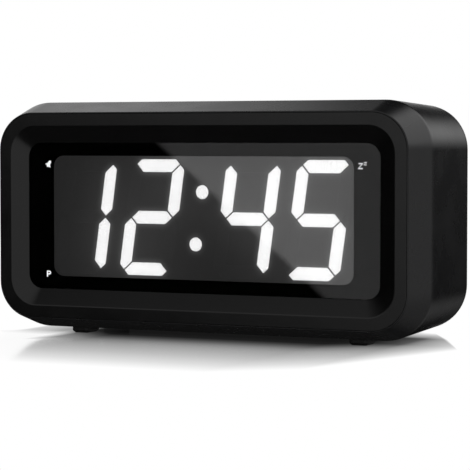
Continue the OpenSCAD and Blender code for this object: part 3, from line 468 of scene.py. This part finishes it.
# Tubes on its back take the display board's four screws and the four case screws. The rows below
# give a tube's place, outer radius, bore and back end.
board_y = extent("display_board")[0][1] - front
bezel_y = extent("front_bezel")[1][1] - front
TUBES = [(SCREW_BOARD, 1.7, 0.75, board_y), (SCREW_CASE, 2.1, 0.85, bezel_y)]
tubes = []
for (across, up), radius, bore, back in TUBES:
    wall = [(radius, TUBE_Y), (radius, back), (bore, back), (bore, TUBE_Y)]
    tubes += [turned("tube", wall, (i * across, 0, j * up), 1, 24, closed=True)
              for i in (-1, 1) for j in (-1, 1)]
even(together(bezel, *tubes))
finished(bezel, "clock", "bezel_plastic", smooth_black, "front_bezel")

# ===== display ===========================================================================
# The glass is a plate of smoked acrylic with a polished face. A black film is printed with the
# window's opening and three small marks, and a grey film behind it evens out the light.
def plate(name, w, h, r, y0, y1, edge):
    """Flat piece between two depths: a profile with rounded corners carried round a rectangle, and
    capped."""
    land = 2 * edge + 0.02                   # where the profile leaves the flat caps
    corners = [(-land, y0), (0, y0), (0, y1), (-land, y1)]
    return even(skin(name, placed(carried(softened(corners, edge, 3, closed=False), w, h, r, steps=12))))


low, high = extent("display_lens")
lens_w, lens_h = high[0] - low[0], high[2] - low[2]
UNDER_LIP = 1.8                              # how far the glass reaches under the lip
LENS_R = SLOPE_R[1] + UNDER_LIP
mask_y = high[1] - front
SMEARS = 60.0                                # smears of wiping to the metre, 17 mm each
# Polished acrylic: a clear mirror at the surface and a smoke tint through its thickness.
acrylic, tree, shader = blank("acrylic_smoked", {"Base Color": linear("#d9d9d9"), "IOR": 1.36,
                                                 "Transmission Weight": 1.0})
where = node(tree, "ShaderNodeTexCoord").outputs["Object"]
smear = node(tree, "ShaderNodeTexNoise", {"Vector": where, "Scale": SMEARS, "Detail": 4.0}).outputs["Fac"]
gloss = node(tree, "ShaderNodeMapRange", (smear, 0.4, 0.75, 0.0, 0.004))
tree.links.new(gloss.outputs[0], shader["Roughness"])
CLEAR = 0.02                                 # air between neighbours that light passes through
lens = plate("lens_plate", lens_w, lens_h, LENS_R, lens_y, mask_y - CLEAR, 0.12)
finished(lens, "clock", "smoked_lens", acrylic, "display_lens")

filter_y = extent("border_mask")[1][1] - front
BORDER = (8.95, 4.15)
WINDOW_R = 3.6
window_w = lens_w - 2 * (UNDER_LIP + BORDER[0])
window_h = lens_h - 2 * (UNDER_LIP + BORDER[1])
# Matt black screen ink under the glass: it takes nearly all light, so only the glass shines there.
ink_black = moulded("ink_black", "#030303", 0.4, 0.5, 0.0005, ior=1.1)
rings = np.concatenate([
    carried([(0, mask_y), (0, filter_y)], lens_w, lens_h, LENS_R),
    carried([(0, filter_y), (0, mask_y)], window_w, window_h, WINDOW_R)])
mask = skin("border_film", placed(rings), closed=True)
finished(mask, "clock", "black_print", ink_black, "border_mask")


# Three marks are left open in the film and light up: a bell for the alarm, a P for the afternoon and
# a double Z for the snooze.
def flat(name, outlines, y0, y1):
    """Thin solid over each outline: its points at both depths, joined round and capped."""
    points, faces, first = [], [], 0
    for outline in outlines:
        outline = np.asarray(outline, float)
        following = np.roll(outline, -1, 0)
        if (outline[:, 0] * following[:, 1] - outline[:, 1] * following[:, 0]).sum() < 0:
            outline = outline[::-1]
        n = len(outline)
        points += [np.insert(outline, 1, y0, axis=1), np.insert(outline, 1, y1, axis=1)]
        k = np.arange(n)
        walls = np.stack([k, k + n, (k + 1) % n + n, (k + 1) % n], -1) + first
        faces += walls.tolist() + [(k + first).tolist(), (k[::-1] + n + first).tolist()]
        first += 2 * n
    mesh = bpy.data.meshes.new(name)
    mesh.from_pydata(placed(np.concatenate(points)).tolist(), [], faces)
    mesh.update()
    piece = bpy.data.objects.new(name, mesh)
    bpy.context.collection.objects.link(piece)
    return piece


def ribbon(path, width):
    """Outline of a stroke along a path: each point is moved to both sides along the mitre of its
    two edges, (n1 + n2) / (1 + n1 . n2), but by no more than 1.6 half widths."""
    p = np.asarray(path, float)
    edge = np.diff(p, axis=0)
    normal = np.stack([-edge[:, 1], edge[:, 0]], -1) / np.linalg.norm(edge, axis=1, keepdims=True)
    before, after = np.concatenate([normal[:1], normal]), np.concatenate([normal, normal[-1:]])
    mitre = (before + after) / np.maximum(1 + (before * after).sum(1, keepdims=True), 0.1)
    length = np.linalg.norm(mitre, axis=1, keepdims=True)
    mitre *= np.minimum(length, 1.6) / length * width / 2
    return np.concatenate([p + mitre, (p - mitre)[::-1]])


BELL = (-54.6, 16.9, -33.0)                  # middle and turn in degrees
half_bell = np.array([(0.0, 1.20), (0.22, 1.12), (0.42, 0.90), (0.50, 0.55), (0.56, 0.05), (0.74, -0.35),
                      (1.12, -0.62), (1.12, -0.78), (0.42, -0.80), (0.36, -1.02), (0.18, -1.16)])
bell = np.concatenate([half_bell, half_bell[:0:-1] * (-1, 1)])
tilt = math.radians(BELL[2])
bell = bell @ np.array([[math.cos(tilt), math.sin(tilt)], [-math.sin(tilt), math.cos(tilt)]]) + BELL[:2]
bowl = np.radians(np.linspace(90, -90, 9))
bowl = np.stack([0.75 + 0.5 * np.cos(bowl), 0.40 + 0.47 * np.sin(bowl)], -1)
letter_p = np.concatenate([[(0, -1.05), (0, 0.87), (0.75, 0.87)], bowl[1:], [(0, -0.07)]])
letter_z = np.array([(-0.62, 0.80), (0.70, 0.80), (-0.68, -0.80), (0.72, -0.80)])
# Each stroke's path, scaled and put in its place, and its width.
strokes = [(letter_p * 0.93 + (-55.3, -19.0), 0.42), (letter_z * (1, 0.95) + (54.9, 16.72), 0.36),
           (letter_z * (0.62, 0.48) + (56.45, 17.45), 0.22)]
MARK_Y = (mask_y - 0.015, mask_y - 0.003)    # the marks lie just before the film
marks = flat("display_marks", [bell, *(ribbon(path, width) for path, width in strokes)], *MARK_Y)
# White screen ink that lets the lamps through: its grain, 3 to the millimetre, shows a little.
ink_lit, tree, shader = blank("ink_translucent_white", {"Base Color": linear("#b9b9ba"), "Roughness": 0.5,
                                                        "Emission Color": (0.97, 0.98, 1.0, 1)})
where = node(tree, "ShaderNodeTexCoord").outputs["Object"]
fibre = node(tree, "ShaderNodeTexNoise", {"Vector": where, "Scale": 3 / MM}).outputs["Fac"]
power = node(tree, "ShaderNodeMapRange", (fibre, 0.0, 1.0, 1.1, 1.5))
tree.links.new(power.outputs[0], shader["Emission Strength"])
finished(marks, "clock", "lit_diffuser", ink_lit)

# Where the grey film lies over a lit segment's edge, light spreads into it for about a millimetre. This
# spread is
# painted as a glow of the film: the segments' coverage blurred by two Gaussians, kept per vertex as an
# attribute.
low, high = extent("display_filter")
film_w, film_h = high[0] - low[0], high[2] - low[2]
GRID = 0.33                                  # spacing of the film's vertices in millimetres
HALO = [(0.6, 0.9), (0.4, 7.0)]              # share and spread in millimetres of each blur
cols, rows = int(film_w / GRID), int(film_h / GRID)
gx, gz = np.meshgrid(np.linspace(-film_w / 2, film_w / 2, cols), np.linspace(-film_h / 2, film_h / 2, rows))
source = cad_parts["lit_segments"].data
co = np.empty(len(source.vertices) * 3)
source.vertices.foreach_get("co", co)
co = co.reshape(-1, 3) / MM - (0, front, mid_z)
source.calc_loop_triangles()
tri = np.empty(len(source.loop_triangles) * 3, int)
source.loop_triangles.foreach_get("vertices", tri)
tri = co[tri.reshape(-1, 3)]
tri = tri[np.ptp(tri[:, :, 1], axis=1) < 0.01][:, :, [0, 2]]     # the faces that look forward or back
a, b, c = tri[:, 0, :, None, None], tri[:, 1, :, None, None], tri[:, 2, :, None, None]


def side(p, q):
    """Which side of the line p q each grid point lies on, from the cross product."""
    return (q[:, 0] - p[:, 0]) * (gz - p[:, 1]) - (q[:, 1] - p[:, 1]) * (gx - p[:, 0])


s1, s2, s3 = side(a, b), side(b, c), side(c, a)
covered = ((s1 >= 0) & (s2 >= 0) & (s3 >= 0)) | ((s1 <= 0) & (s2 <= 0) & (s3 <= 0))
covered = covered.any(0).astype(float)


def blurred(values, sigma):
    """Gaussian blur of a grid, along its columns and then its rows."""
    reach = np.arange(-int(3 * sigma / GRID), int(3 * sigma / GRID) + 1) * GRID
    weights = np.exp(-reach ** 2 / (2 * sigma ** 2))
    weights /= weights.sum()
    spread = lambda line: np.convolve(line, weights, "same")
    return np.apply_along_axis(spread, 1, np.apply_along_axis(spread, 0, values))


halo = sum(share * blurred(covered, sigma) for share, sigma in HALO)
near_y, far_y = low[1] - front + CLEAR / 2, high[1] - front - CLEAR
near = np.stack([gx, np.full_like(gx, near_y), gz], -1)
points = placed(np.concatenate([near.reshape(-1, 3), (near + (0, far_y - near_y, 0)).reshape(-1, 3)]))
i, j = np.meshgrid(np.arange(rows - 1), np.arange(cols - 1), indexing="ij")
at = (i * cols + j).reshape(-1)
face = np.stack([at, at + 1, at + cols + 1, at + cols], -1)
rim = np.concatenate([np.arange(cols - 1), np.arange(rows - 1) * cols + cols - 1,
                      rows * cols - 1 - np.arange(cols - 1), (rows - 1 - np.arange(rows - 1)) * cols])
wall = np.stack([np.roll(rim, -1), rim, rim + rows * cols, np.roll(rim, -1) + rows * cols], -1)
film_mesh = bpy.data.meshes.new("grey_film")
faces = np.concatenate([face, face[:, ::-1] + rows * cols, wall])
film_mesh.from_pydata(points.tolist(), [], faces.tolist())
film_mesh.update()
attribute = film_mesh.attributes.new("halo", "FLOAT", "POINT")
attribute.data.foreach_set("value", np.tile(halo.reshape(-1), 2).astype(np.float32))
film_piece = bpy.data.objects.new("grey_film", film_mesh)
bpy.context.collection.objects.link(film_piece)
# Calendered polyester: smooth and clear. Light from the segments that strays in it is painted as a glow,
# faint all over and stronger near them, with a faint grain of 1.5 to the millimetre.
film_grey, tree, shader = blank("polyester_grey", {
    "Base Color": linear("#cacaca"), "IOR": 1.92, "Roughness": 0.0, "Transmission Weight": 1.0,
    "Emission Color": (1.0, 1.0, 1.0, 1)})
where = node(tree, "ShaderNodeTexCoord").outputs["Object"]
grain = node(tree, "ShaderNodeTexNoise", {"Vector": where, "Scale": 1.5 / MM}).outputs["Fac"]
stray = node(tree, "ShaderNodeAttribute", attribute_name="halo").outputs["Fac"]
painted_glow = node(tree, "ShaderNodeMapRange", (stray, 0.0, 1.0, 0.014, 0.14))
fleck = node(tree, "ShaderNodeMapRange", (grain, 0.0, 1.0, 0.97, 1.03))
painted_glow = node(tree, "ShaderNodeMath", (painted_glow, fleck), operation="MULTIPLY")
tree.links.new(painted_glow.outputs[0], shader["Emission Strength"])
finished(film_piece, "clock", "grey_filter", film_grey, "display_filter")

# Light blocks fill the wells of the reflector. They are cast of frosted epoxy, which scatters the
# lamp's light: the lit ones glow a cool white, a little unevenly over about 6 mm of a block.
lit, tree, shader = blank("epoxy_lit", {"Base Color": linear("#e9e9ea"), "Roughness": 0.6,
                                        "Emission Color": (1.0, 1.0, 1.0, 1)})
where = node(tree, "ShaderNodeTexCoord").outputs["Object"]
uneven = node(tree, "ShaderNodeTexNoise", {"Vector": where, "Scale": 1 / (6.25 * MM),
                                           "Detail": 1.0}).outputs["Fac"]
power = node(tree, "ShaderNodeMapRange", (uneven, 0.3, 0.7, 2.06, 2.16))
tree.links.new(power.outputs[0], shader["Emission Strength"])


def dressed(material, *names):
    """Puts a material on CAD pieces whose shape is right as it is."""
    for name in names:
        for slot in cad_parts[name].material_slots:
            slot.material = material


dressed(lit, "lit_segments")
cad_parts["lit_segments"].visible_diffuse = False      # the glow lights nothing but the glass
# The same epoxy where no lamp is on, with a painted shade far darker than the lit blocks' base colour, and
# dull grey ABS straight from the tool between the blocks.
dressed(moulded("epoxy_unlit_painted_dark", "#2b2b2d", 0.5, 0.3, 0.002), "unlit_segments")
dressed(moulded("abs_reflector_grey", "#141415", 0.55, 0.4, 0.004), "segment_reflector")


# ===== rear cover ========================================================================
# One ABS moulding with the battery bay, a sunk panel round the keys, sound slots and four deep
# screw wells. It closes the cabinet and has the same satin texture.
SHARP = math.radians(35)                     # edges over this are rounded


def eased(node_name, name, reach, steps=2):
    """A merged copy of a CAD piece with its sharp edges rounded by reach, in millimetres."""
    shape = bmesh.new()
    shape.from_mesh(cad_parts[node_name].data)
    bmesh.ops.remove_doubles(shape, verts=shape.verts, dist=1e-6)
    bmesh.ops.dissolve_limit(shape, angle_limit=math.radians(0.5), verts=shape.verts, edges=shape.edges)
    mesh = bpy.data.meshes.new(name)
    shape.to_mesh(mesh)
    shape.free()
    mesh.shade_smooth()
    mesh.set_sharp_from_angle(angle=SHARP)
    piece = bpy.data.objects.new(name, mesh)
    bpy.context.collection.objects.link(piece)
    bevel = piece.modifiers.new("eased", "BEVEL")
    bevel.width = reach * MM
    bevel.segments = steps
    bevel.limit_method = "ANGLE"
    bevel.angle_limit = SHARP
    bevel.miter_outer = "MITER_ARC"
    return even(piece)


cover = eased("rear_cover", "rear_cover_moulding", 0.2)
finished(cover, "clock", "cabinet_plastic", satin_black, "rear_cover")

# ===== battery door ======================================================================
# A flat ABS leaf with a rounded lower edge that it turns on, two tabs and a spring latch. It is
# moulded like the cover and has the same texture.
door = eased("battery_door", "door_leaf", 0.18)
finished(door, "door", "cabinet_plastic", satin_black, "battery_door")

# ===== keys and knobs ====================================================================
# Four push keys and two slide knobs, which stand in openings of the rear cover. They are moulded in
# one black ABS, with crowned edges that a finger finds.
# ABS from a nearly plain tool: a shade lighter than the cover, with a soft shine on its edges.
key_black = moulded("abs_key_black", "#29292b", 0.3, 0.35, 0.003)
for name in ("hour", "minute", "time", "alarm"):
    key = eased(name + "_button", name + "_key_cap", 0.25)
    finished(key, name + "_key", "key_plastic", key_black, name + "_button")
for name in ("alarm", "brightness"):
    knob = eased(name + "_switch_knob", name + "_slide_knob", 0.15)
    finished(knob, name + "_switch", "key_plastic", key_black, name + "_switch_knob")

# ===== snooze bar ========================================================================
# A long crowned key let into the roof behind the ridge. It is of the same ABS as the keys, and its
# flange holds it in from below.
bar = eased("snooze_bar", "snooze_bar_cap", 0.3, 3)
finished(bar, "snooze", "key_plastic", key_black, "snooze_bar")


# ===== display electronics ===============================================================
# Behind the reflector a green board carries one white lamp for each segment, the clock chip with its
# crystal and three capacitors. A grey flat cable joins it to the board of the keys.
def solder_masked(name):
    """Fibreglass board under green lacquer. Copper tracks about 0.5 mm wide show through it as the
    edges of cells 3 mm across, and a weave of 0.4 mm as a faint relief."""
    made, tree, shader = blank(name, {"Roughness": 0.3})
    where = node(tree, "ShaderNodeTexCoord").outputs["Object"]
    track = node(tree, "ShaderNodeTexVoronoi",
                 {"Vector": where, "Scale": 1 / (3.125 * MM), "Randomness": 0.6},
                 feature="DISTANCE_TO_EDGE").outputs["Distance"]
    copper = node(tree, "ShaderNodeValToRGB", (track,))
    edge, bed = copper.color_ramp.elements
    edge.position, bed.position = 0.06, 0.10
    edge.color, bed.color = linear("#2c6a3c"), linear("#163f24")
    tree.links.new(copper.outputs["Color"], shader["Base Color"])
    weave = node(tree, "ShaderNodeTexNoise", {"Vector": where, "Scale": 1 / (0.4 * MM)}).outputs["Fac"]
    bump = node(tree, "ShaderNodeBump", {"Strength": 0.5, "Distance": 0.01 * MM, "Height": weave})
    tree.links.new(bump.outputs["Normal"], shader["Normal"])
    return made


def plated(name, colour, rough, grain):
    """Rolled or plated metal: streaks of the grain's size in millimetres vary its tone and gloss."""
    made, tree, shader = blank(name, {"Metallic": 1.0})
    where = node(tree, "ShaderNodeTexCoord").outputs["Object"]
    streak = node(tree, "ShaderNodeTexNoise", {"Vector": where, "Scale": 1 / (grain * MM),
                                               "Detail": 3.0}).outputs["Fac"]
    base = np.array(linear(colour))[:3]
    tone = node(tree, "ShaderNodeValToRGB", (streak,))
    dull, bright = tone.color_ramp.elements
    dull.color, bright.color = (*(base * 0.8), 1), (*base, 1)
    tree.links.new(tone.outputs["Color"], shader["Base Color"])
    gloss = node(tree, "ShaderNodeMapRange", (streak, 0.0, 1.0, rough * 0.7, rough * 1.3))
    tree.links.new(gloss.outputs[0], shader["Roughness"])
    return made


dressed(solder_masked("fibreglass_green"), "display_board", "key_board", "snooze_board")
# Lamp housings of moulded white polyamide, and a chip of black epoxy resin with a dry, dull face.
dressed(moulded("polyamide_white", "#dcdad0", 0.45, 0.3, 0.002), "led_chips")
dressed(moulded("resin_black", "#18181a", 0.55, 0.2, 0.004), "controller_chip")
# The crystal's can is deep-drawn nickel silver: bright, with fine drawing streaks.
dressed(plated("nickel_drawn", "#c9c6bf", 0.25, 0.4), "quartz_crystal")

# The capacitors wear a dark blue sleeve of shrunk PVC, which shines softly, and the aluminium of the
# can shows at the far end.
sleeve = moulded("pvc_sleeve_blue", "#1d2a4a", 0.35, 0.5, 0.001)
tree, shader = sleeve.node_tree, sleeve.node_tree.nodes["Principled BSDF"].inputs
CAN_END = 0.15 * MM                          # length of the bare end
where = node(tree, "ShaderNodeTexCoord").outputs["Object"]
reach = node(tree, "ShaderNodeSeparateXYZ", (where,)).outputs["Y"]
bare = node(tree, "ShaderNodeMath", (reach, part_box("capacitors")[1][1] - CAN_END), operation="GREATER_THAN")
tree.links.new(bare.outputs[0], shader["Metallic"])
blue = shader["Base Color"].links[0].from_socket
tint = node(tree, "ShaderNodeMix", {0: bare, 6: blue, 7: linear("#c4c6c9")}, data_type="RGBA")
tree.links.new(tint.outputs[2], shader["Base Color"])
dressed(sleeve, "capacitors")

# The flat cable is extruded grey PVC, softly matt, with a groove between neighbouring cores.
CORE = 1.27                                  # spacing of the cores in millimetres
jacket = moulded("pvc_grey_ribbed", "#85888c", 0.45, 0.4, 0.001)
tree, shader = jacket.node_tree, jacket.node_tree.nodes["Principled BSDF"].inputs
where = node(tree, "ShaderNodeTexCoord").outputs["Object"]
groove = node(tree, "ShaderNodeTexWave", {"Vector": where, "Scale": 2 * math.pi / (20 * CORE * MM)},
              bands_direction="X").outputs["Fac"]
bump = node(tree, "ShaderNodeBump", {"Strength": 1.0, "Distance": 0.15 * MM, "Height": groove})
tree.links.new(bump.outputs["Normal"], shader["Normal"])
dressed(jacket, "ribbon_cable")

# ===== switches and plungers =============================================================
# Push switches of black nylon, slide switches in a tinned shell, and ABS rods that reach from the
# switches to the keys and the snooze bar. A buzzer in a black case, and the screws.
# Glass-filled nylon is greyer and duller than ABS, and hot-dipped tin bright but cloudy.
dressed(moulded("nylon_black", "#1b1b1d", 0.45, 0.3, 0.003), "tact_switches", "snooze_switch")
dressed(plated("tin_bright", "#c2c3c4", 0.3, 0.5), "slide_switches")
dressed(key_black, "hour_plunger", "minute_plunger", "time_plunger", "alarm_plunger", "snooze_plunger")
# PBT has an even satin face, and zinc plate on the screws a pale, slightly uneven grey.
dressed(moulded("pbt_black", "#141415", 0.4, 0.3, 0.003), "buzzer")
dressed(plated("steel_zinc_plated", "#b9bcc0", 0.35, 0.3), "case_screws", "board_screws", "snooze_screws")

# ===== cells =============================================================================
# Four AA cells lie in two rows behind the door. A printed film with a brass-coloured shoulder is
# shrunk round the steel can, whose two ends stay bare.
CELL_L = 50.5                                # with its nub
BARE_FROM = 0.468                            # the ends past this share from the middle are steel
# Radius and distance along the cell: the flat end, the jacket, the shoulder and the nub.
cell_profile = [(5.2, 0.15), (5.5, 0.0), (6.3, 0.0), (7.0, 0.3), (7.1, 0.7), (7.1, 48.4), (7.0, 48.9),
                (6.2, 49.2), (5.4, 49.0), (2.8, 49.0), (2.65, 49.3), (2.65, 50.2), (2.3, CELL_L)]
# Glossy printed film over nickel-plated steel, with scuffs of 2.5 mm from handling.
film, tree, shader = blank("film_printed")
along = node(tree, "ShaderNodeAttribute", attribute_name="along").outputs["Fac"]
bands = node(tree, "ShaderNodeValToRGB", (along,))
bands.color_ramp.interpolation = "CONSTANT"
minus, plus = bands.color_ramp.elements
plus.position = 0.968
minus.color = plus.color = linear("#b4b5b7")
for share, colour in [(0.012, "#1f2226"), (0.70, "#d8d9da"), (0.712, "#a9803f")]:
    bands.color_ramp.elements.new(share).color = linear(colour)
tree.links.new(bands.outputs["Color"], shader["Base Color"])
bare = node(tree, "ShaderNodeMath", (along, 0.5), operation="SUBTRACT")
bare = node(tree, "ShaderNodeMath", (bare,), operation="ABSOLUTE")
bare = node(tree, "ShaderNodeMath", (bare, BARE_FROM), operation="GREATER_THAN")
tree.links.new(bare.outputs[0], shader["Metallic"])
where = node(tree, "ShaderNodeTexCoord").outputs["Object"]
scuff = node(tree, "ShaderNodeTexNoise", {"Vector": where, "Scale": 1 / (2.5 * MM),
                                          "Detail": 4.0}).outputs["Fac"]
gloss = node(tree, "ShaderNodeMapRange", (scuff, 0.0, 1.0, 0.2, 0.42))
tree.links.new(gloss.outputs[0], shader["Roughness"])
for number, way in enumerate((1, -1, -1, 1), 1):
    name = "battery_cell_%d" % number
    low, high = extent(name)
    start = low[0] if way > 0 else high[0]
    rows = [(radius, start + way * reach) for radius, reach in cell_profile]
    middle = (0, (low[1] + high[1]) / 2 - front, (low[2] + high[2]) / 2 - mid_z)
    cell = turned(name + "_can", rows, middle, 0, 40)
    co = np.empty(len(cell.data.vertices) * 3)
    cell.data.vertices.foreach_get("co", co)
    share = np.abs(co[::3] / MM - start) / CELL_L
    cell.data.attributes.new("along", "FLOAT", "POINT").data.foreach_set("value", share.astype(np.float32))
    finished(even(cell), "clock", "cell_jacket", film, name)
# Spring wire and contact plates are nickel plated and bright, and the leads are in soft red PVC.
dressed(plated("nickel_plated_spring", "#c7c5c0", 0.28, 0.3), "contact_springs", "contact_plates")
dressed(moulded("pvc_red", "#8c1d1a", 0.4, 0.4, 0.001), "battery_leads")

# ===== feet ==============================================================================
# Soft rubber pads glued into pockets of the underside. They narrow to the table, with rounded edges
# where they stand.
FOOT_CHAMFER = (0.9, 0.8)                    # inwards, up
FOOT_DRAFT = 0.12                            # inwards at the glued end
FOOT_LAND = 1.6                              # where the profile leaves the flat faces
FOOT_R = 1.3
# Moulded rubber is matt and pitted, so it shows hardly any gleam.
foot_rubber = moulded("rubber_black", "#121212", 0.62, 0.5, 0.01)
for name in FEET:
    low, high = extent(name)
    middle = ((low[0] + high[0]) / 2, (low[1] + high[1]) / 2 - front)
    stand, glued = -mid_z, high[2] - mid_z
    pad = softened([(-FOOT_LAND, stand), (-FOOT_CHAMFER[0], stand), (0.0, stand + FOOT_CHAMFER[1]),
                    (-FOOT_DRAFT, glued), (-FOOT_LAND, glued)], 0.3, 4, closed=False)
    pad = carried(pad, high[0] - low[0], high[1] - low[1], FOOT_R, middle, up=True, steps=8)
    finished(even(skin(name + "_pad", placed(pad))), "clock", "foot_rubber", foot_rubber, name)
